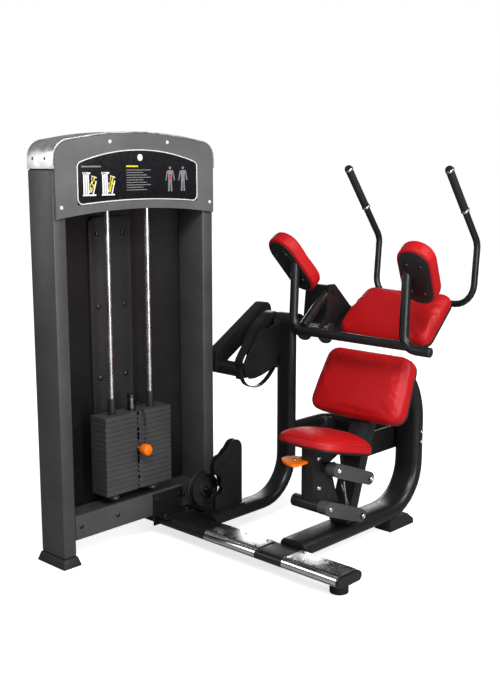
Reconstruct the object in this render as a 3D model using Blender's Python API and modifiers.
"""Selectorised ab crunch machine: weight tower, base frame, adjustable seat and swinging crunch arm.

Metres, +Z up. The origin is on the floor under the front outer corner of the tower's left post, +X runs
from the tower to the seat, and the user sits facing -Y with the tower on their right.
"""

import math

import bmesh
import bpy
from mathutils import Matrix, Vector

GAP = 0.0003

# Tower
TOWER_WIDTH = 0.76
POST_WIDTH = 0.055
POST_DEPTH = 0.139
POST_TOP = 1.425
FOOT_HEIGHT = 0.035
FOOT_FLARE = 0.014
DECK_BOTTOM, DECK_TOP = 0.094, 0.185
DECK_STEP = 0.02
HEADER_BOTTOM = 1.257
HEADER_RISE = 0.027
HEADER_PROUD = 0.012
SHOULDER = 1.438
ARCH_TOP = 1.558
ARCH_CORNER = 0.066
ARCH_RISE = 0.031
CAP_SHEET = 0.006
TOP_BEAM_BOTTOM, TOP_BEAM_TOP = 1.335, 1.385
SHROUD_BULGE = 0.035
SHROUD_SHEET = 0.003

# Weight stack
ROD_RADIUS = 0.0095
ROD_SPACING = 0.19
ROD_X = -0.065
PLATE_COUNT = 16
LIFTED_PLATES = 8
PLATE_PITCH = 0.019
STACK_BOTTOM = 0.2115
PLATE_LENGTH = 0.323
PLATE_DEPTH = 0.09
STEM_RADIUS = 0.0115
PIN_RADIUS = 0.0042
TOP_PULLEY_RADIUS = 0.045
TOP_PULLEY_Z = 1.432

# Base frame
STATION_X = 0.60
BEAM_Y, BEAM_Z = 0.4985, 0.0747
BEAM_SIZE = (0.127, 0.038)
BEAM_START, BEAM_END = -0.12, 0.91
OVAL_BIG = (0.12, 0.06)
OVAL_SMALL = (0.09, 0.045)
RAIL_Z = 0.084
LEFT_X = 0.165
LEFT_Y = 1.02
RIGHT_Y = 1.279
RIGHT_BEND = 0.178
CROSS_Z = 0.348
CROSS_SIZE = (0.04, 0.083)

# Crunch arm
PIVOT_Y, PIVOT_Z = 1.04, 0.80
SHAFT_RADIUS = 0.0175
BARREL_RADIUS = 0.044
CAM_X = (0.04, 0.10)
CAM_REACH = 0.185
BELT_PLATE_X = 0.139
SUPPORT_Y, SUPPORT_Z = 0.804, 0.632
SUPPORT_TUBE = 0.03
DIAGONAL_X = (-0.03, 0.018)
BAR_Y, BAR_Z = 0.85, 0.8175
ARM_TUBE = 0.0172
PAD_TUBE_OFFSET = 0.255
HANDLE_OFFSET = 0.23
HANDLE_TUBE = 0.013
HANDLE_SIDE = ((1.140, 1.430), (1.360, 1.145), (1.341, 0.905))
GRIP_RADIUS = 0.0155

# Cushions. A back pad's rings run from the crown of its front face to its back: top and bottom half widths,
# height, corner radius, depth.
UPPER_PAD = {
    "y": 1.1428, "z": 0.8897, "lean": math.radians(49.78), "thick": 0.0636,
    "rings": (
        (0.1846, 0.1937, 0.07, 0.018, 0.0105), (0.1801, 0.1982, 0.14, 0.018, 0.0065),
        (0.1756, 0.2027, 0.2097, 0.03, 0), (0.1925, 0.2095, 0.2395, 0.036, -0.0145),
        (0.1975, 0.2107, 0.2486, 0.036, -0.0286), (0.1975, 0.2107, 0.2486, 0.036, -0.0636),
    ),
}
LOWER_PAD = {
    "y": 0.9354, "z": 0.6335, "lean": math.radians(25.77), "thick": 0.0713,
    "rings": (
        (0.1798, 0.1867, 0.08, 0.03, 0.009), (0.1763, 0.1901, 0.16, 0.03, 0.006),
        (0.1729, 0.1935, 0.2389, 0.039, 0), (0.1880, 0.2100, 0.2535, 0.045, -0.009),
        (0.194, 0.217, 0.2593, 0.049, -0.0179), (0.194, 0.217, 0.2593, 0.049, -0.0713),
    ),
}
ELBOW_HALF, ELBOW_RADIUS = 0.1324, 0.0684
ELBOW_BACK = 0.012
ELBOW_RINGS = (
    (ELBOW_BACK, 0.012), (0.0132, 0.0045), (0.0185, 0), (0.056, 0), (0.065, 0.003), (0.0703, 0.009),
)
SEAT_Y, SEAT_Z = 0.7674, 0.4087
SEAT_TILT = math.radians(14)
SEAT_HALF, SEAT_FRONT, SEAT_REAR = 0.1426, 0.1954, 0.1193
SEAT_ROUND = 2 / 3.6
SEAT_SIDES = 44
# Height above the underside, and the plan's scale there.
SEAT_RINGS = (
    (0, 0.97), (0.004, 1), (0.033, 0.985), (0.042, 0.94), (0.056, 0.81), (0.067, 0.62), (0.074, 0.4),
)

# Seat linkage
POST_LEAN = math.atan(0.325)
POST_SIZE = (0.085, 0.045)
UPPER_POST_PIN = (0.898, 0.286)
LOWER_POST_PIN = (0.853, 0.152)
LINK_REACH = (-0.194, 0.074)
LINK_X = (0.650, 0.690)
LINK_HALF = 0.025
LINK_PIN = 0.008

# Belt wheels on the left rail
LOWER_PULLEY = (0.71, 0.326)
GUIDE_WHEEL = (0.637, 0.281)

CENTRE_Y = TOWER_WIDTH / 2


def new_collection(name):
    """An empty collection in the scene."""
    made = bpy.data.collections.new(name)
    bpy.context.scene.collection.children.link(made)
    return made


for old in list(bpy.data.objects):
    bpy.data.objects.remove(old, do_unlink=True)
PARTS = new_collection("ab_crunch_machine")
HELPERS = new_collection("cutters")


def material(name, colour, roughness, metallic=0.0):
    """A plain material of one colour."""
    made = bpy.data.materials.new(name)
    made.use_nodes = True
    shader = made.node_tree.nodes["Principled BSDF"]
    shader.inputs["Base Color"].default_value = (*colour, 1.0)
    shader.inputs["Roughness"].default_value = roughness
    shader.inputs["Metallic"].default_value = metallic
    made.diffuse_color = (*colour, 1.0)
    return made


FRAME_BLACK = material("frame_black", (0.018, 0.018, 0.02), 0.42)
TOWER_GREY = material("tower_grey", (0.085, 0.085, 0.088), 0.5)
HEADER_GREY = material("header_grey", (0.15, 0.15, 0.152), 0.5)
CAP_SILVER = material("cap_silver", (0.8, 0.8, 0.82), 0.2, 1.0)
CHROME = material("chrome", (0.85, 0.85, 0.86), 0.08, 1.0)
STEEL_PLATE = material("foot_plate_steel", (0.6, 0.61, 0.63), 0.3, 1.0)
IRON = material("weight_iron", (0.07, 0.07, 0.075), 0.55)
RUBBER = material("rubber_black", (0.012, 0.012, 0.012), 0.75)
RED = material("red_leather", (0.55, 0.01, 0.015), 0.45)
ORANGE = material("orange_plastic", (1.0, 0.25, 0.0), 0.35)
PLACARD = material("placard_black", (0.01, 0.008, 0.012), 0.25)


def add(name, mesh, look, helper=False):
    """Links a mesh as a named part, or as a hidden cutter."""
    made = bpy.data.objects.new(name, mesh)
    (HELPERS if helper else PARTS).objects.link(made)
    if helper:
        made.hide_render = True
        made.display_type = "WIRE"
    elif look:
        made.data.materials.append(look)
    return made


def smooth(part, angle=35):
    part.data.shade_smooth()
    part.data.set_sharp_from_angle(angle=math.radians(angle))
    return part


def baked(part):
    """A curve as a mesh object with its caps welded. The curve is removed."""
    bpy.context.view_layer.update()
    graph = bpy.context.evaluated_depsgraph_get()
    mesh = bpy.data.meshes.new_from_object(part.evaluated_get(graph))
    work = bmesh.new()
    work.from_mesh(mesh)
    bmesh.ops.remove_doubles(work, verts=work.verts, dist=1e-6)
    bmesh.ops.dissolve_degenerate(work, edges=work.edges, dist=1e-6)
    bmesh.ops.recalc_face_normals(work, faces=work.faces)
    work.to_mesh(mesh)
    work.free()
    name, home, place = part.name, part.users_collection[0], part.matrix_world.copy()
    hidden = part.hide_render
    bpy.data.objects.remove(part, do_unlink=True)
    made = bpy.data.objects.new(name, mesh)
    made.matrix_world = place
    home.objects.link(made)
    made.hide_render = hidden
    if hidden:
        made.display_type = "WIRE"
    return smooth(made)


def box(name, low, high, look, bevel=0.0, segments=2, helper=False):
    """A block between two corners, with its edges rounded."""
    size = [b - a for a, b in zip(low, high)]
    middle = Vector([(a + b) / 2 for a, b in zip(low, high)])
    mesh = bpy.data.meshes.new(name)
    work = bmesh.new()
    bmesh.ops.create_cube(work, size=1.0)
    bmesh.ops.scale(work, vec=size, verts=work.verts)
    work.to_mesh(mesh)
    work.free()
    made = add(name, mesh, look, helper)
    made.location = middle
    if bevel:
        round_edges(made, bevel, segments)
    return made


def round_edges(part, width, segments=2, angle=30):
    rounding = part.modifiers.new("rounding", "BEVEL")
    rounding.width = width
    rounding.segments = segments
    rounding.limit_method = "ANGLE"
    rounding.angle_limit = math.radians(angle)
    part.data.shade_smooth()
    return part


def rod(name, start, end, radius, look, sides=24, helper=False):
    """A round bar between two points."""
    start, end = Vector(start), Vector(end)
    mesh = bpy.data.meshes.new(name)
    work = bmesh.new()
    bmesh.ops.create_cone(
        work, cap_ends=True, segments=sides, radius1=radius, radius2=radius, depth=(end - start).length
    )
    work.to_mesh(mesh)
    work.free()
    made = add(name, mesh, look, helper)
    made.matrix_world = Matrix.LocRotScale(
        (start + end) / 2, (end - start).to_track_quat("Z", "Y"), None
    )
    return smooth(made)


def arc(centre, radius, first, last, steps):
    """Points of an arc in a plane, from one angle to the other, in degrees."""
    angles = [math.radians(first + (last - first) * i / steps) for i in range(steps + 1)]
    return [(centre[0] + radius * math.cos(a), centre[1] + radius * math.sin(a)) for a in angles]


def circle(centre, radius, sides):
    return arc(centre, radius, 0, 360, sides)[:-1]


TO_X = Matrix(((0, 0, 1), (1, 0, 0), (0, 1, 0))).to_4x4()


def prism(name, outline, low, high, look, holes=(), axis="X", bevel=0.0, helper=False):
    """A flat outline given thickness: (y, z) points along X, or (x, y) points along Z."""
    curve = bpy.data.curves.new(name, "CURVE")
    curve.dimensions = "2D"
    curve.fill_mode = "BOTH"
    curve.extrude = (high - low) / 2
    for ring in (outline, *holes):
        spline = curve.splines.new("POLY")
        spline.points.add(len(ring) - 1)
        for point, (a, b) in zip(spline.points, ring):
            point.co = (a, b, 0, 1)
        spline.use_cyclic_u = True
    made = add(name, curve, None, helper)
    middle = (low + high) / 2
    made.matrix_world = (
        Matrix.Translation((middle, 0, 0)) @ TO_X if axis == "X" else Matrix.Translation((0, 0, middle))
    )
    made = baked(made)
    if look:
        made.data.materials.append(look)
    if bevel:
        round_edges(made, bevel)
    return made


def filleted(corners, radius, steps=7):
    """A path through its corners, each inner corner rounded. One radius, or one for each inner corner."""
    corners = [Vector(corner) for corner in corners]
    radii = radius if isinstance(radius, (list, tuple)) else [radius] * (len(corners) - 2)
    path = [corners[0]]
    for before, corner, after, bend in zip(corners, corners[1:], corners[2:], radii):
        back, ahead = (before - corner).normalized(), (after - corner).normalized()
        half = back.angle(ahead) / 2
        centre = corner + (back + ahead).normalized() * bend / math.sin(half)
        first = corner + back * bend / math.tan(half) - centre
        last = corner + ahead * bend / math.tan(half) - centre
        turn = first.rotation_difference(last)
        for i in range(steps + 1):
            step = first.copy()
            step.rotate(turn.__class__().slerp(turn, i / steps))
            path.append(centre + step)
    path.append(corners[-1])
    return path


def path_curve(name, path, helper=False):
    """An open curve through the points of a path."""
    curve = bpy.data.curves.new(name, "CURVE")
    curve.dimensions = "3D"
    curve.use_fill_caps = True
    spline = curve.splines.new("POLY")
    spline.points.add(len(path) - 1)
    for point, place in zip(spline.points, path):
        point.co = (*place, 1)
    return add(name, curve, None, helper)


def tube(name, path, radius, look, resolution=4, helper=False):
    """A round tube along a path."""
    made = path_curve(name, path, helper)
    made.data.bevel_depth = radius
    made.data.bevel_resolution = resolution
    made = baked(made)
    if look:
        made.data.materials.append(look)
    return made


def oval(width, height, steps=5):
    """A flat oval: a rectangle whose short sides are half circles."""
    radius = min(width, height) / 2
    reach = max(width, height) / 2 - radius
    if width >= height:
        return arc((reach, 0), radius, -90, 90, steps) + arc((-reach, 0), radius, 90, 270, steps)
    return arc((0, reach), radius, 0, 180, steps) + arc((0, -reach), radius, 180, 360, steps)


def oval_tube(name, path, width, height, look, helper=False):
    """A flat-oval tube along a path. Width lies level and across the path."""
    profile = bpy.data.curves.new(name + "_profile", "CURVE")
    profile.dimensions = "2D"
    ring = oval(width, height)
    spline = profile.splines.new("POLY")
    spline.points.add(len(ring) - 1)
    for point, (a, b) in zip(spline.points, ring):
        point.co = (a, b, 0, 1)
    spline.use_cyclic_u = True
    guide = bpy.data.objects.new(name + "_profile", profile)
    HELPERS.objects.link(guide)
    guide.hide_render = True
    made = path_curve(name, path, helper)
    made.data.bevel_mode = "OBJECT"
    made.data.bevel_object = guide
    made = baked(made)
    bpy.data.objects.remove(guide, do_unlink=True)
    if look:
        made.data.materials.append(look)
    return made


def stadium(start, end, radius, steps=8):
    """Outline of a bar with round ends between two points of a plane."""
    heading = math.degrees(math.atan2(end[1] - start[1], end[0] - start[0]))
    return arc(end, radius, heading - 90, heading + 90, steps) + arc(
        start, radius, heading + 90, heading + 270, steps
    )


def rounded(corners, radius, steps=4):
    """A closed outline with each corner rounded."""
    corners = [Vector(corner) for corner in corners]
    start = (corners[0] + corners[-1]) / 2
    return filleted([start, *corners, start], radius, steps)[1:-1]


def lofted(name, rings, look):
    """One closed body through rings of the same number of points, its ends flat."""
    count = len(rings[0])
    faces = [tuple(range(count)), tuple(range(len(rings) * count - count, len(rings) * count))]
    for first in range(0, len(rings) * count - count, count):
        for i in range(count):
            after = (i + 1) % count
            faces.append((first + i, first + after, first + count + after, first + count + i))
    mesh = bpy.data.meshes.new(name)
    mesh.from_pydata([tuple(point) for ring in rings for point in ring], [], faces)
    work = bmesh.new()
    work.from_mesh(mesh)
    bmesh.ops.recalc_face_normals(work, faces=work.faces)
    work.to_mesh(mesh)
    work.free()
    return smooth(add(name, mesh, look))


def boolean(part, other, operation):
    change = part.modifiers.new(operation.lower(), "BOOLEAN")
    change.operation = operation
    change.object = other
    return part


def cut(part, other):
    return boolean(part, other, "DIFFERENCE")


def join(part, other):
    return boolean(part, other, "UNION")


def place(part, position, across, along):
    """Stands a part on two directions: local X goes across, local Y goes along, local Z is their normal."""
    across, along = Vector(across).normalized(), Vector(along).normalized()
    normal = across.cross(along)
    turn = Matrix((across, along, normal)).transposed().to_4x4()
    part.matrix_world = Matrix.Translation(position) @ turn
    return part


def axis_empty(name, position):
    """An empty on a joint's axis."""
    made = bpy.data.objects.new(name, None)
    PARTS.objects.link(made)
    made.location = position
    made.empty_display_size = 0.05
    bpy.context.view_layer.update()
    return made


def hang(parent, *parts):
    """Parents parts to an empty on their joint's axis, without moving them."""
    bpy.context.view_layer.update()
    for part in parts:
        part.parent = parent
        part.matrix_parent_inverse = parent.matrix_world.inverted()


def in_pad(pad, along, out):
    """A (y, z) point placed from the centre of a back pad's front face: up its slope, and out of the face."""
    lean = pad["lean"]
    return (
        pad["y"] + along * math.sin(lean) - out * math.cos(lean),
        pad["z"] + along * math.cos(lean) + out * math.sin(lean),
    )


def behind_pad(pad, points):
    """An outline behind a back pad: distances up its slope, and out from the back of its board."""
    return [in_pad(pad, along, -pad["thick"] - back) for along, back in points]


def pad_plate(name, pad, low, high):
    """A flat bar against the back of a pad, between two distances along its slope."""
    near, far = -pad["thick"] - 3 * GAP, -pad["thick"] - 0.007
    outline = [in_pad(pad, low, near), in_pad(pad, high, near), in_pad(pad, high, far), in_pad(pad, low, far)]
    return prism(name, outline, STATION_X - 0.045, STATION_X + 0.045, None, helper=True)


def arch(inset, bottom, bottom_rise=0.0, steps=5):
    """The tower head's outline, drawn in from its outer edge: straight sides, round shoulders, low arch."""
    left, right = inset, TOWER_WIDTH - inset
    top, corner = ARCH_TOP - inset, ARCH_CORNER - inset
    crown_half = CENTRE_Y - ARCH_CORNER * 0.92
    crown_radius = (crown_half**2 + ARCH_RISE**2) / (2 * ARCH_RISE)
    sweep = math.degrees(math.asin((right - left - 2 * corner) / 2 / (crown_radius - inset)))
    crown = arc((CENTRE_Y, top - crown_radius), crown_radius, 90 - sweep, 90 + sweep, 4 * steps)
    shoulder_z = crown[0][1] - corner
    rise = 90 - sweep
    right_side = arc((right - corner, shoulder_z), corner, 0, rise, steps)
    left_side = arc((left + corner, shoulder_z), corner, 180 - rise, 180, steps)
    outline = right_side + crown[1:-1] + left_side
    if not bottom_rise:
        return [(right, bottom), *outline, (left, bottom)]
    half = (right - left) / 2
    radius = (half**2 + bottom_rise**2) / (2 * bottom_rise)
    reach = math.degrees(math.asin(half / radius))
    base = arc((CENTRE_Y, bottom + bottom_rise - radius), radius, 90 + reach, 90 - reach, 2 * steps)
    return outline + base


def tower_posts():
    """The two uprights, each on a flared rubber foot."""
    for side, low in (("left", 0.0), ("right", TOWER_WIDTH - POST_WIDTH)):
        high = low + POST_WIDTH
        box(
            f"{side}_post", (-POST_DEPTH, low, FOOT_HEIGHT + GAP), (0, high, POST_TOP), TOWER_GREY, 0.006
        )
        foot = box(
            f"{side}_foot",
            (-POST_DEPTH - FOOT_FLARE, low - FOOT_FLARE, 0),
            (FOOT_FLARE, high + FOOT_FLARE, FOOT_HEIGHT),
            RUBBER,
            0.004,
        )
        for corner in foot.data.vertices:
            if corner.co.z > 0:
                corner.co.x -= math.copysign(FOOT_FLARE * 0.8, corner.co.x)
                corner.co.y -= math.copysign(FOOT_FLARE * 0.8, corner.co.y)


def tower_beams():
    """The stack's deck, and the top beam with the ears and the belt slot of the top pulley."""
    inner = (POST_WIDTH + GAP, TOWER_WIDTH - POST_WIDTH - GAP)
    deck = box(
        "base_beam", (-POST_DEPTH + 0.004, inner[0], DECK_BOTTOM), (-0.001, inner[1], DECK_TOP), TOWER_GREY
    )
    step = box("deck_step", (-0.3, -1, DECK_TOP - DECK_STEP), (-0.012, 1, 1), None, helper=True)
    cut(deck, step)
    beam = box(
        "top_beam", (-POST_DEPTH + 0.01, inner[0], TOP_BEAM_BOTTOM), (-0.02, inner[1], TOP_BEAM_TOP),
        FRAME_BLACK,
    )
    wheel = (CENTRE_Y + TOP_PULLEY_RADIUS, TOP_PULLEY_Z)
    for side in (-1, 1):
        ear_x = ROD_X + side * 0.0215
        ear = prism(
            f"ear_{side}",
            [(wheel[0] - 0.03, 1.37), (wheel[0] + 0.03, 1.37), *arc(wheel, 0.018, 0, 180, 6)],
            ear_x - 0.0025, ear_x + 0.0025, None, helper=True,
        )
        join(beam, ear)
    axle = prism("ear_axle", circle(wheel, 0.0056, 12), ROD_X - 0.022, ROD_X + 0.022, None, helper=True)
    join(beam, axle)
    slot = box(
        "belt_slot", (ROD_X - 0.0185, CENTRE_Y - 0.014, 1.3), (ROD_X + 0.0185, wheel[0] + 0.06, 1.42),
        None, helper=True,
    )
    cut(beam, slot)


def pulley(name, centre, radius, width, bore):
    """A flanged belt wheel turned about X."""
    half = width / 2
    wall = 0.003
    profile = [
        (bore, half), (radius, half), (radius, half - wall), (radius - 0.005, half - wall),
        (radius - 0.005, wall - half), (radius, wall - half), (radius, -half), (bore, -half),
    ]
    mesh = bpy.data.meshes.new(name)
    mesh.from_pydata(
        [(r, 0, z) for r, z in profile], [(i, (i + 1) % len(profile)) for i in range(len(profile))], []
    )
    made = add(name, mesh, FRAME_BLACK)
    turn = made.modifiers.new("turn", "SCREW")
    turn.steps = turn.render_steps = 20
    turn.use_merge_vertices = True
    turn.merge_threshold = 0.00001
    made.matrix_world = Matrix.Translation(centre) @ Matrix.Rotation(math.pi / 2, 4, "Y")
    return made


def tower_skin():
    """Header, placard, silver cap and the bent rear shroud."""
    prism("header_panel", arch(CAP_SHEET + 0.001, HEADER_BOTTOM, HEADER_RISE), GAP, HEADER_PROUD, HEADER_GREY)
    cap = prism("top_cap", arch(0, SHOULDER - 0.011), -POST_DEPTH, HEADER_PROUD - 0.002, CAP_SILVER)
    hollow = prism(
        "cap_hollow", arch(CAP_SHEET, SHOULDER - 0.1), CAP_SHEET - POST_DEPTH, 0.1, None, helper=True
    )
    cut(cap, hollow)
    placard_outline = (
        arc((CENTRE_Y, 1.4925 - 0.894), 0.894, 71.6, 108.4, 10)
        + arc((CENTRE_Y, 1.317 - 3.09), 3.09, 95.25, 84.75, 6)
    )
    prism("placard", placard_outline, HEADER_PROUD + GAP, HEADER_PROUD + 0.0026, PLACARD)
    back = -POST_DEPTH - GAP
    plan = [
        (back, 0.012), (back, 0.05), (back - SHROUD_BULGE, 0.13), (back - SHROUD_BULGE, TOWER_WIDTH - 0.13),
        (back, TOWER_WIDTH - 0.05), (back, TOWER_WIDTH - 0.012),
    ]
    inner = [(x - SHROUD_SHEET, y) for x, y in reversed(plan)]
    shroud_top = SHOULDER - 0.011 - GAP
    shroud = prism("rear_shroud", plan + inner, 0.1, shroud_top, TOWER_GREY, axis="Z")
    lid = prism("shroud_lid", plan[1:-1], shroud_top - SHROUD_SHEET, shroud_top, None, axis="Z", helper=True)
    join(shroud, lid)


def weight_stack():
    """Plates with rod, stem and pin holes, the two guide rods, the stem and its pin."""
    plates = []
    front = ROD_X + PLATE_DEPTH / 2
    notch = 0.006
    outline = [
        (ROD_X - PLATE_DEPTH / 2, CENTRE_Y - PLATE_LENGTH / 2), (front, CENTRE_Y - PLATE_LENGTH / 2),
        (front, CENTRE_Y - 2 * notch), (front - notch, CENTRE_Y - notch), (front - notch, CENTRE_Y + notch),
        (front, CENTRE_Y + 2 * notch), (front, CENTRE_Y + PLATE_LENGTH / 2),
        (ROD_X - PLATE_DEPTH / 2, CENTRE_Y + PLATE_LENGTH / 2),
    ]
    holes = [circle((ROD_X, CENTRE_Y + side * ROD_SPACING / 2), ROD_RADIUS + 0.0015, 12) for side in (-1, 1)]
    holes.append(circle((ROD_X, CENTRE_Y), STEM_RADIUS + 0.0015, 12))
    for index in range(PLATE_COUNT):
        top = STACK_BOTTOM + (PLATE_COUNT - index) * PLATE_PITCH
        middle = top - PLATE_PITCH / 2
        plate = prism(
            f"weight_plate_{index + 1:02d}", outline, top - PLATE_PITCH + 0.0007, top - 0.0007, IRON, holes,
            axis="Z",
        )
        pin_hole = rod(
            f"pin_hole_{index + 1:02d}", (ROD_X, CENTRE_Y, middle), (front + 0.01, CENTRE_Y, middle),
            PIN_RADIUS + 0.0008, None, 8, helper=True,
        )
        plates.append(cut(plate, pin_hole))
    for side, name in ((-1, "left"), (1, "right")):
        y = CENTRE_Y + side * ROD_SPACING / 2
        rod(
            f"guide_rod_{name}", (ROD_X, y, DECK_TOP + GAP), (ROD_X, y, TOP_BEAM_BOTTOM - GAP), ROD_RADIUS,
            CHROME, 16,
        )
    stem_top = STACK_BOTTOM + PLATE_COUNT * PLATE_PITCH + 0.06
    stem = rod(
        "selector_stem", (ROD_X, CENTRE_Y, STACK_BOTTOM), (ROD_X, CENTRE_Y, stem_top), STEM_RADIUS, CHROME, 16
    )
    pin_z = STACK_BOTTOM + (PLATE_COUNT - LIFTED_PLATES + 0.5) * PLATE_PITCH
    cross_hole = rod(
        "stem_pin_hole", (ROD_X - 0.03, CENTRE_Y, pin_z), (ROD_X + 0.03, CENTRE_Y, pin_z),
        PIN_RADIUS + 0.0008, None, 8, helper=True,
    )
    cut(stem, cross_hole)
    pin = rod(
        "selector_pin", (ROD_X - 0.008, CENTRE_Y, pin_z), (0.004, CENTRE_Y, pin_z), PIN_RADIUS, ORANGE, 8
    )
    knob = rod("pin_knob", (0, CENTRE_Y, pin_z), (0.034, CENTRE_Y, pin_z), 0.0215, None, 16, helper=True)
    round_edges(knob, 0.007, 2)
    join(pin, knob)
    stack_axis = axis_empty("stack_axis", (ROD_X, CENTRE_Y, STACK_BOTTOM))
    hang(stack_axis, *plates[:LIFTED_PLATES], stem)
    hang(axis_empty("pin_axis", (0, CENTRE_Y, pin_z)), pin)


def left_frame(rail_start):
    """Rail, bend and upright in one tube, with the arm's bearing barrel and the belt plate welded on."""
    wide, tall = OVAL_SMALL
    path = filleted(
        [(LEFT_X, rail_start, RAIL_Z), (LEFT_X, LEFT_Y, RAIL_Z), (LEFT_X, LEFT_Y, PIVOT_Z - 0.01)], 0.17, 9
    )
    frame = oval_tube("left_frame", path, wide, tall, FRAME_BLACK)
    pivot = (PIVOT_Y, PIVOT_Z)
    barrel = prism("pivot_barrel", circle(pivot, BARREL_RADIUS, 28), 0.112, 0.208, None, helper=True)
    bore = prism("barrel_bore", circle(pivot, SHAFT_RADIUS + GAP, 24), 0.0, 0.3, None, helper=True)
    outline = [
        (0.784, 0.648), (0.793, 0.671), (0.819, 0.716), (0.86, 0.763), (0.889, 0.784), (0.925, 0.787),
        (0.997, 0.808), (1.02, 0.81), (1.02, 0.70), (1.004, 0.695), (0.977, 0.665), (0.974, 0.628),
        (0.937, 0.617), (0.89, 0.603), (0.848, 0.596), (0.819, 0.598), (0.796, 0.618),
    ]
    plate = prism("belt_plate", outline, BELT_PLATE_X, BELT_PLATE_X + 0.008, None, helper=True)
    join(frame, barrel)
    join(frame, plate)
    cut(frame, bore)


def right_frame(rail_start):
    """Rail and upright in one tube, whose top bows forward to the lower back pad."""
    bow, hook = 0.25, 0.10
    bow_start = 0.435
    bow_arc = arc((RIGHT_Y - bow, bow_start), bow, 0, 40, 6)
    turn = math.radians(40)
    hook_centre = (
        bow_arc[-1][0] - hook * math.cos(turn),
        bow_arc[-1][1] - hook * math.sin(turn),
    )
    hook_arc = arc(hook_centre, hook, 40, 80, 5)
    slope = math.radians(170)
    end = (hook_arc[-1][0] + 0.105 * math.cos(slope), hook_arc[-1][1] + 0.105 * math.sin(slope))
    rail = filleted(
        [(STATION_X, rail_start, RAIL_Z), (STATION_X, RIGHT_Y, RAIL_Z), (STATION_X, RIGHT_Y, bow_start)],
        RIGHT_BEND, 9,
    )
    top = [Vector((STATION_X, y, z)) for y, z in [*bow_arc[1:], *hook_arc[1:], end]]
    frame = oval_tube("right_frame", rail + top, *OVAL_BIG, FRAME_BLACK)
    join(frame, pad_plate("frame_plate", LOWER_PAD, -0.02, 0.085))
    web = behind_pad(LOWER_PAD, ((0.0, 0.003), (0.07, 0.003), (0.068, 0.04), (0.03, 0.045)))
    join(frame, prism("frame_web", web, STATION_X - 0.035, STATION_X + 0.035, None, helper=True))


def base_frame():
    """Foot beam, its steel foot plates, the two bent side frames, the cross tube and the rubber feet."""
    wide, tall = BEAM_SIZE
    beam_path = [(BEAM_START, BEAM_Y, BEAM_Z), (BEAM_END, BEAM_Y, BEAM_Z)]
    oval_tube("foot_beam", beam_path, wide, tall, FRAME_BLACK)
    rod("beam_foot", (0.84, 0.53, 0), (0.84, 0.53, BEAM_Z - tall / 2 - GAP), 0.033, RUBBER, 20)
    sheet, lift = 0.003, 0.0006
    nose = (BEAM_Y - wide / 2 + tall / 2, BEAM_Z)
    inner = arc(nose, tall / 2 + lift, 90, 205, 8)
    outer = arc(nose, tall / 2 + lift + sheet, 205, 90, 8)
    back = BEAM_Y + wide / 2 - 0.018
    top = BEAM_Z + tall / 2 + lift
    section = [(back, top), *inner, *outer, (back, top + sheet)]
    for name, low, high in (("inner", 0.275, 0.53), ("outer", 0.66, 0.90)):
        prism(f"foot_plate_{name}", section, low, high, STEEL_PLATE)

    rail_start = BEAM_Y + wide / 2 + GAP
    left_frame(rail_start)
    right_frame(rail_start)
    cross_y = RIGHT_Y - 0.012
    cross_x = LEFT_X + 0.015
    cross_path = filleted(
        [
            (cross_x, LEFT_Y + OVAL_SMALL[1] / 2 + GAP, CROSS_Z), (cross_x, cross_y, CROSS_Z),
            (STATION_X - OVAL_BIG[0] / 2 - GAP, cross_y, CROSS_Z),
        ],
        0.07, 7,
    )
    oval_tube("cross_tube", cross_path, *CROSS_SIZE, FRAME_BLACK)
    foot_top = RAIL_Z - OVAL_BIG[1] / 2 - GAP
    prism(
        "bend_foot",
        [(1.11, 0), (1.27, 0), (1.27, 0.02), (1.225, foot_top), (1.11, foot_top)],
        STATION_X - 0.04, STATION_X + 0.04, RUBBER, bevel=0.003,
    )


def seat_post():
    """The leaning post of the seat, bent back at its top to run up behind the lower back pad."""
    foot_z = RAIL_Z + OVAL_BIG[1] / 2 + GAP
    lean = math.tan(POST_LEAN)
    half = POST_SIZE[1] / 2 / math.cos(POST_LEAN)
    foot_y, knee_y, knee_z = 0.902 + (foot_z - 0.286) * lean, 0.944, 0.416
    rise = 0.175
    pad_lean = LOWER_PAD["lean"]
    top_y, top_z = knee_y + rise * math.sin(pad_lean), knee_z + rise * math.cos(pad_lean)
    deep_y, deep_z = half * math.cos(pad_lean), half * math.sin(pad_lean)
    outline = [
        (foot_y - half, foot_z), (foot_y + half, foot_z), (knee_y + half, knee_z - 0.004),
        (top_y + deep_y, top_z - deep_z), (top_y - deep_y, top_z + deep_z), (knee_y - half, knee_z + 0.004),
    ]
    wide = POST_SIZE[0] / 2
    post = prism("seat_post", outline, STATION_X - wide, STATION_X + wide, FRAME_BLACK)
    pins = (("upper", UPPER_POST_PIN), ("lower", LOWER_POST_PIN))
    for name, pin in pins:
        link_pin = prism(
            f"{name}_post_pin", circle(pin, LINK_PIN, 12), STATION_X + wide - 0.01, LINK_X[1] + 0.006, None,
            helper=True,
        )
        join(post, link_pin)
    join(post, pad_plate("post_plate", LOWER_PAD, -0.118, -0.028))
    spacer = behind_pad(LOWER_PAD, ((-0.1, 0.003), (-0.04, 0.003), (-0.04, 0.02), (-0.1, 0.02)))
    join(post, prism("post_spacer", spacer, STATION_X - 0.03, STATION_X + 0.03, None, helper=True))


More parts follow.
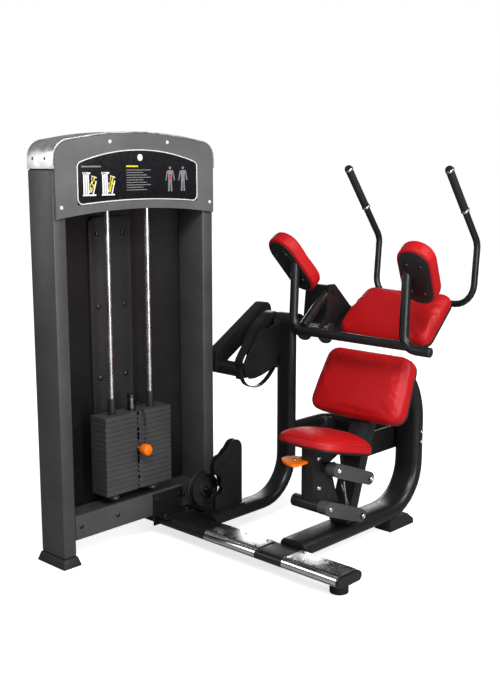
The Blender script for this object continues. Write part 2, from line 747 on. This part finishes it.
def tower_link():
    """What ties the tower to the arm's pivot: a diagonal box beam and a bent round tube."""
    rise = math.radians(31.5)
    half = 0.035
    pivot = Vector((PIVOT_Y, PIVOT_Z))
    end = Vector((PIVOT_Y + 0.012, PIVOT_Z + 0.038))
    side_y = TOWER_WIDTH + GAP
    drop = (end.x - side_y) * math.tan(rise)
    offset = half / math.cos(rise)
    outline = [
        (side_y, end.y - drop - offset),
        *arc(end, half, math.degrees(rise) - 90, math.degrees(rise) + 90, 9),
        (side_y, end.y - drop + offset),
    ]
    beam = prism("diagonal_support", outline, *DIAGONAL_X, FRAME_BLACK)
    join(beam, prism("support_boss", circle(pivot, 0.042, 28), *DIAGONAL_X, None, helper=True))
    bore = circle(pivot, SHAFT_RADIUS + GAP, 24)
    cut(beam, prism("support_bore", bore, DIAGONAL_X[0] - 0.05, DIAGONAL_X[1] + 0.05, None, helper=True))
    path = filleted(
        [
            (-0.09, side_y, SUPPORT_Z), (-0.09, SUPPORT_Y, SUPPORT_Z),
            (BELT_PLATE_X - GAP, SUPPORT_Y, SUPPORT_Z),
        ],
        0.036, 6,
    )
    tube("support_tube", path, SUPPORT_TUBE, FRAME_BLACK)
    room_path = [(-0.2, SUPPORT_Y, SUPPORT_Z), (0.2, SUPPORT_Y, SUPPORT_Z)]
    cut(beam, rod("support_room", *room_path, SUPPORT_TUBE + 2 * GAP, None, 32, helper=True))


def drive():
    """The belt's wheels: one in a bracket on the left rail, one under the tower's head."""
    rail_top = RAIL_Z + OVAL_SMALL[1] / 2 + GAP
    outline = [
        (0.60, rail_top), (0.747, rail_top), *arc((0.708, 0.337), 0.039, 0, 150, 9),
        *arc((0.655, 0.362), 0.018, -30, -80, 3), *arc(GUIDE_WHEEL, 0.045, 90, 220, 7),
        *arc((0.586, 0.222), 0.046, 25, -25, 5), (0.645, 0.19), (0.635, 0.176), (0.60, 0.163),
    ]
    holes = [circle(LOWER_PULLEY, 0.0066, 12), circle(GUIDE_WHEEL, 0.0066, 12)]
    near = prism("pulley_bracket", outline, 0.165, 0.171, FRAME_BLACK, holes)
    far = prism("bracket_cheek", outline, 0.143, 0.148, None, holes, helper=True)
    foot = box("bracket_foot", (0.143, 0.60, rail_top), (0.187, 0.747, rail_top + 0.04), None, helper=True)
    room = box("bracket_room", (0.148, 0.5, rail_top + 0.006), (0.165, 0.9, 0.5), None, helper=True)
    trim = box("bracket_trim", (0.171, 0.5, rail_top + 0.006), (0.3, 0.9, 0.5), None, helper=True)
    cut(cut(join(join(near, far), foot), room), trim)
    low_centre = (0.1565, *LOWER_PULLEY)
    low = pulley("lower_pulley", low_centre, 0.030, 0.014, 0.006)
    hang(axis_empty("lower_pulley_axis", low_centre), low)
    top_centre = (ROD_X, CENTRE_Y + TOP_PULLEY_RADIUS, TOP_PULLEY_Z)
    top = pulley("top_pulley", top_centre, TOP_PULLEY_RADIUS + 0.004, 0.034, 0.006)
    hang(axis_empty("top_pulley_axis", top_centre), top)


def cam_outline():
    """The belt cam: a hub with one lobe, whose lower rim is an arc about the pivot."""
    pivot = (PIVOT_Y, PIVOT_Z)
    return [*arc(pivot, 0.040, -40, 150, 9), *arc(pivot, CAM_REACH, 208, 300, 10)]


def elbow_frame(side):
    """Where an elbow pad's board meets its tube: a point, and the board's across and along directions."""
    position = Vector((STATION_X + side * 0.2888, 0.8588, 1.0489))
    along = Vector((side * 0.208, -0.579, 0.788)).normalized()
    out = Vector((-side * 0.08, 0.793, 0.604))
    out = (out - along * out.dot(along)).normalized()
    return position, along.cross(out), along


def arm_bracket(key):
    """Two pivot plates with their tie, the strut to the main bar, and the rail and bars of the upper pad."""
    pivot = (PIVOT_Y, PIVOT_Z)
    rail = (1.23, 0.835)
    plate = [
        *arc(pivot, 0.06, 195, 285, 6), (1.09, 0.765), (1.215, 0.792),
        *arc((1.226, 0.824), 0.026, -70, 50, 5), (1.18, 0.88), (1.086, 0.969), (1.078, 0.975), (1.042, 0.975),
        (1.028, 0.843), (1.0, 0.826),
    ]
    hole = circle((1.073, 0.95), 0.006, 10)
    bracket = prism("arm_bracket", plate, 0.355, 0.363, FRAME_BLACK, [key, hole])
    parts = [
        prism("bracket_inner", plate, 0.246, 0.254, None, [key, hole], helper=True),
        box("bracket_tie", (0.25, 1.043, 0.93), (0.36, 1.062, 0.972), None, helper=True),
        prism("pad_rail", circle(rail, 0.0145, 16), 0.25, 0.755, None, helper=True),
        oval_tube(
            "bracket_strut", [(0.345, 1.055, 0.938), (0.352, 0.99, 0.90), (0.385, 0.862, 0.832)], 0.03, 0.038,
            None, helper=True,
        ),
        pad_plate("upper_plate", UPPER_PAD, -0.03, 0.09),
    ]
    web = behind_pad(UPPER_PAD, ((-0.02, 0.003), (0.085, 0.003), (0.06, 0.035), (0.01, 0.04)))
    handle_foot = Vector(HANDLE_SIDE[-1])
    for side in (-1, 1):
        low, high = STATION_X + side * 0.04 - 0.004, STATION_X + side * 0.04 + 0.004
        parts.append(prism(f"upper_web_{side}", web, low, high, None, helper=True))
        low, high = STATION_X + side * 0.1 - 0.005, STATION_X + side * 0.1 + 0.005
        bar = stadium(rail, handle_foot + Vector((0.004, 0)), 0.0155, 6)
        parts.append(prism(f"handle_bar_tie_{side}", bar, low, high, None, helper=True))
    for part in parts:
        join(bracket, part)
    return bracket


def crunch_arm():
    """Everything that swings about the pivot shaft."""
    axis = axis_empty("arm_axis", (0.2, PIVOT_Y, PIVOT_Z))
    pivot = (PIVOT_Y, PIVOT_Z)
    key = circle(pivot, SHAFT_RADIUS + GAP, 24)
    shaft = rod("pivot_shaft", (-0.034, *pivot), (0.372, *pivot), SHAFT_RADIUS, CHROME, 24)
    cam = prism("cam", cam_outline(), *CAM_X, FRAME_BLACK, [key])
    bracket = arm_bracket(key)

    left_x, right_x = STATION_X - PAD_TUBE_OFFSET, STATION_X + PAD_TUBE_OFFSET
    top_y, top_z = BAR_Y + 0.013, 1.1
    main = [(left_x, top_y, top_z), (left_x, BAR_Y, BAR_Z), (right_x + 0.02, BAR_Y, BAR_Z)]
    bar = tube("pad_bar", filleted(main, 0.055, 7), ARM_TUBE, FRAME_BLACK)
    spur_z = BAR_Z - 0.0105
    spur = [(right_x, top_y, top_z), (right_x, BAR_Y, spur_z), (0.985 - ARM_TUBE, BAR_Y, spur_z)]
    join(bar, tube("right_pad_tube", filleted(spur, 0.055, 7), ARM_TUBE + 0.0007, None, helper=True))
    for side in (-1, 1):
        position, across, along = elbow_frame(side)
        trim = box(f"pad_tube_trim_{side}", (-0.2, -0.2, 0), (0.2, 0.2, 0.2), None, helper=True)
        trim.data.transform(Matrix.Translation((0, 0, 0.1 + ELBOW_BACK - 2 * GAP)))
        cut(bar, place(trim, position, across, along))
    bar_room = tube("bar_room", filleted(main, 0.055, 7), ARM_TUBE + GAP, None, helper=True)
    cut(bracket, bar_room)

    handle_x = (STATION_X - HANDLE_OFFSET, STATION_X + HANDLE_OFFSET)
    left, right = [[(x, y, z) for y, z in HANDLE_SIDE] for x in handle_x]
    handle_path = filleted([*left, *reversed(right)], [0.06, 0.08, 0.08, 0.06], 6)
    handle = tube("handle_bar", handle_path, HANDLE_TUBE, FRAME_BLACK, 3)
    foot_y, foot_z = HANDLE_SIDE[-1]
    room_path = [(0.3, foot_y, foot_z), (0.9, foot_y, foot_z)]
    cut(bracket, rod("handle_room", *room_path, HANDLE_TUBE + 2 * GAP, None, 24, helper=True))
    grips = []
    for name, points in (("left", left), ("right", right)):
        top, low = Vector(points[0]), Vector(points[1])
        along = (low - top).normalized()
        grip = rod(f"grip_{name}", top + along * 0.008, top + along * 0.195, GRIP_RADIUS, RUBBER, 20)
        room = rod(
            f"grip_room_{name}", top - along * 0.05, top + along * 0.3, HANDLE_TUBE + 2 * GAP, None, 20,
            helper=True,
        )
        grips.append(cut(grip, room))
    hang(axis, shaft, cam, bracket, bar, handle, *grips)
    return axis


def back_pad(name, pad):
    """A back cushion that narrows to its top: front face, then a wider belly, then its back board."""
    rings = []
    for top, bottom, height, corner, depth in pad["rings"]:
        half = height / 2
        ring = [(top, half, depth), (-top, half, depth), (-bottom, -half, depth), (bottom, -half, depth)]
        rings.append(rounded(ring, corner))
    lean = pad["lean"]
    made = lofted(name, rings, RED)
    return place(made, (STATION_X, pad["y"], pad["z"]), (1, 0, 0), (0, math.sin(lean), math.cos(lean)))


def pads(axis):
    """Four cushions: two for the elbows, one behind the shoulders and one behind the waist."""
    upper = back_pad("upper_back_pad", UPPER_PAD)
    back_pad("lower_back_pad", LOWER_PAD)
    elbow_pads = []
    half = ELBOW_HALF - ELBOW_RADIUS
    for side, name in ((-1, "left"), (1, "right")):
        rings = [
            [(x, y, depth) for x, y in stadium((0, -half), (0, half), ELBOW_RADIUS - inset)]
            for depth, inset in ELBOW_RINGS
        ]
        pad = lofted(f"elbow_pad_{name}", rings, RED)
        elbow_pads.append(place(pad, *elbow_frame(side)))
    hang(axis, upper, *elbow_pads)


def seat_under(y):
    """Height of the seat pad's underside at a distance along Y."""
    return SEAT_Z - (y - SEAT_Y) * math.tan(SEAT_TILT)


def seat():
    """Seat pad, carriage, the two parallel links and the release lever."""
    reach_y, reach_z = LINK_REACH
    upper_front = (UPPER_POST_PIN[0] + reach_y, UPPER_POST_PIN[1] + reach_z)
    lower_front = (LOWER_POST_PIN[0] + reach_y, LOWER_POST_PIN[1] + reach_z)
    for name, back, front in (("upper", UPPER_POST_PIN, upper_front), ("lower", LOWER_POST_PIN, lower_front)):
        holes = [circle(back, LINK_PIN + 0.0006, 12), circle(front, LINK_PIN + 0.0006, 12)]
        link = prism(f"{name}_link", stadium(back, front, LINK_HALF, 6), *LINK_X, FRAME_BLACK, holes)
        hang(axis_empty(f"{name}_link_axis", (STATION_X, *back)), link)

    outline = [
        (0.637, 0.246), (0.648, 0.236), (0.789, 0.209), (0.771, 0.242), (0.738, 0.343), (0.717, 0.37),
        (0.776, 0.392), (0.776, seat_under(0.776) - 2 * GAP), (0.637, seat_under(0.637) - 2 * GAP),
    ]
    carriage = prism("seat_carriage", outline, 0.575, 0.632, FRAME_BLACK)
    inside = LINK_X[0] - 0.001
    outside = LINK_X[1] + 0.006
    parts = [
        prism("cross_bar", circle(lower_front, 0.024, 20), 0.525, inside, None, helper=True),
        prism("upper_boss", circle(upper_front, 0.018, 16), 0.60, inside, None, helper=True),
        prism("upper_front_pin", circle(upper_front, LINK_PIN, 12), 0.60, outside, None, helper=True),
        prism("lower_front_pin", circle(lower_front, LINK_PIN - 0.002, 12), 0.60, outside, None, helper=True),
    ]
    for part in parts:
        join(carriage, part)

    rings = []
    for depth, scale in SEAT_RINGS:
        ring = []
        for i in range(SEAT_SIDES):
            turn = 2 * math.pi * i / SEAT_SIDES
            across, along = math.cos(turn), math.sin(turn)
            reach = SEAT_REAR if along > 0 else SEAT_FRONT
            x = SEAT_HALF * math.copysign(abs(across) ** SEAT_ROUND, across)
            y = reach * math.copysign(abs(along) ** SEAT_ROUND, along)
            ring.append((x * scale, y * scale, depth))
        rings.append(ring)
    pad = lofted("seat_pad", rings, RED)
    back = Vector((0, math.cos(SEAT_TILT), -math.sin(SEAT_TILT)))
    place(pad, (STATION_X, SEAT_Y, SEAT_Z), (1, 0, 0), back)

    leaf = [
        (0.5725, 0.6362), (0.5725, 0.66), (0.548, 0.668), (0.518, 0.656), (0.503, 0.63), (0.508, 0.603),
        (0.53, 0.584), (0.565, 0.568), (0.597, 0.562), (0.606, 0.575), (0.606, 0.6362),
    ]
    lever = prism("seat_lever", leaf, 0.383, 0.393, ORANGE, axis="Z")
    hang(axis_empty("seat_carriage_axis", (STATION_X, *upper_front)), carriage, pad)
    hang(axis_empty("seat_lever_axis", (0.571, 0.62, 0.388)), lever)


tower_posts()
tower_beams()
tower_skin()
weight_stack()
base_frame()
seat_post()
tower_link()
drive()
arm_axis = crunch_arm()
pads(arm_axis)
seat()
bpy.context.view_layer.update()
